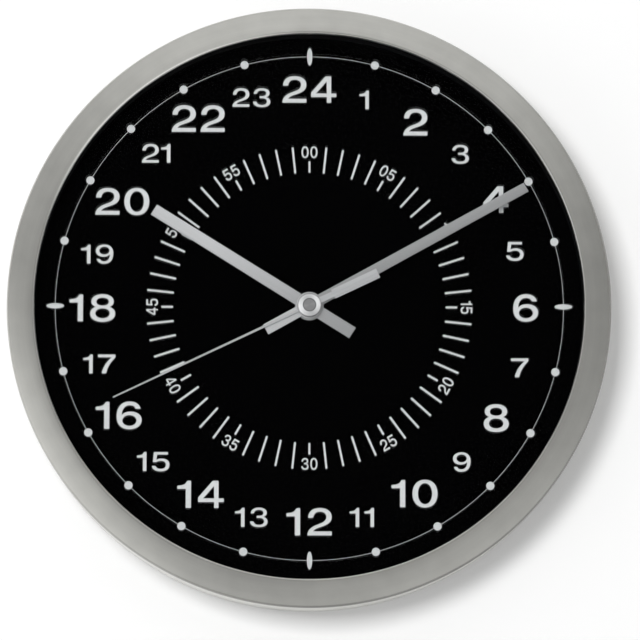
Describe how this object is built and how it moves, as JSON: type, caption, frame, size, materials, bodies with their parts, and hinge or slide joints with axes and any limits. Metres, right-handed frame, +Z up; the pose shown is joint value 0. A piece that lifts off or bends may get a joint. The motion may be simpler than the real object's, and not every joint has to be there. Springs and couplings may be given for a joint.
{
  "type": "twenty-four hour wall clock",
  "caption": "Round wall clock with a satin aluminium rim, black twenty-four hour dial, three bar hands and a geared quartz movement behind.",
  "frame": {"origin": "the point where the clock hangs: the top of the keyhole slot on the wall's plane", "axes": "+Z up, +Y into the wall, so the dial faces -Y, and +X to the viewer's right"},
  "size_m": [0.3, 0.042, 0.3],
  "materials": {
    "rim_aluminium": "satin spun aluminium under clear lacquer",
    "lens_glass": "clear flat mineral glass",
    "dial_black": "matt black with pale grey print",
    "black_plastic": "fine moulded texture",
    "grey_plastic": "moulded, fluted edge",
    "ivory_plastic": "moulded acetal",
    "steel": "zinc plated",
    "brass": "turned",
    "copper": "enamelled copper winding",
    "rubber": "moulded",
    "board": "glass-fibre board with solder mask",
    "cell_jacket": "plain shrink jacket with bare ends",
    "hand_silver": "satin, brushed along its length",
    "hand_grey": "satin, brushed along its length"
  },
  "bodies": {
    "case": {"case_rim": "rim_aluminium", "glass_lens": "lens_glass", "spacer_ring": "dial_black", "dial_plate": "dial_black", "back_cover": "black_plastic", "hanger_plate": "steel", "movement_base": "black_plastic", "movement_cover": "black_plastic", "centre_bushing": "brass", "rubber_gasket": "rubber", "washer": "brass", "hex_nut": "brass", "stator": "steel", "coil": "copper", "circuit_board": "board", "crystal_can": "steel", "negative_contact": "steel", "positive_contact": "steel", "cover_screw_1": "steel", "cover_screw_2": "steel", "cover_screw_3": "steel", "cover_screw_4": "steel", "cover_screw_5": "steel", "cover_screw_6": "steel", "hanger_screw_1": "steel", "hanger_screw_2": "steel"},
    "hour": {"hour_hand": "hand_silver", "hour_wheel": "ivory_plastic"},
    "minute": {"minute_hand": "hand_grey", "cannon_pinion": "ivory_plastic"},
    "second": {"second_hand": "hand_silver", "second_hand_hub": "hand_silver", "second_wheel": "ivory_plastic"},
    "centre": {"centre_wheel": "ivory_plastic", "clutch_spring": "steel"},
    "third": {"third_wheel": "ivory_plastic"},
    "intermediate": {"intermediate_wheel": "ivory_plastic"},
    "rotor": {"rotor": "steel"},
    "motion": {"motion_wheel": "ivory_plastic", "setting_knob": "grey_plastic"},
    "cell": {"battery_cell": "cell_jacket"}
  },
  "joints": [
    {"name": "second_hand_turn", "type": "hinge", "parent": "case", "child": "second", "pos_m": [0, -0.015, -0.112], "axis": [0, 1, 0], "continuous": true},
    {"name": "minute_hand_turn", "type": "hinge", "parent": "case", "child": "minute", "pos_m": [0, -0.02, -0.112], "axis": [0, 1, 0], "continuous": true},
    {"name": "hour_hand_turn", "type": "hinge", "parent": "case", "child": "hour", "pos_m": [0, -0.022, -0.112], "axis": [0, 1, 0], "continuous": true},
    {"name": "centre_wheel_turn", "type": "hinge", "parent": "case", "child": "centre", "pos_m": [0, -0.018, -0.112], "axis": [0, 1, 0], "continuous": true},
    {"name": "third_wheel_turn", "type": "hinge", "parent": "case", "child": "third", "pos_m": [0.01054, -0.0165, -0.10816], "axis": [0, 1, 0], "continuous": true},
    {"name": "intermediate_wheel_turn", "type": "hinge", "parent": "case", "child": "intermediate", "pos_m": [0, -0.013, -0.10048], "axis": [0, 1, 0], "continuous": true},
    {"name": "rotor_turn", "type": "hinge", "parent": "case", "child": "rotor", "pos_m": [0.00837, -0.011, -0.09565], "axis": [0, 1, 0], "continuous": true},
    {"name": "setting_knob_turn", "type": "hinge", "parent": "case", "child": "motion", "pos_m": [-0.01081, -0.02, -0.10807], "axis": [0, 1, 0], "continuous": true},
    {"name": "cell_slide", "type": "slide", "parent": "case", "child": "cell", "axis": [0, 1, 0], "range_m": [0, 0.026]}
  ],
  "couplings": [
    {"joint": "third_wheel_turn", "follows": "second_hand_turn", "ratio": -0.13333},
    {"joint": "centre_wheel_turn", "follows": "second_hand_turn", "ratio": 0.016667},
    {"joint": "intermediate_wheel_turn", "follows": "second_hand_turn", "ratio": -5},
    {"joint": "rotor_turn", "follows": "second_hand_turn", "ratio": 30},
    {"joint": "setting_knob_turn", "follows": "minute_hand_turn", "ratio": -0.25},
    {"joint": "hour_hand_turn", "follows": "minute_hand_turn", "ratio": 0.041667}
  ]
}
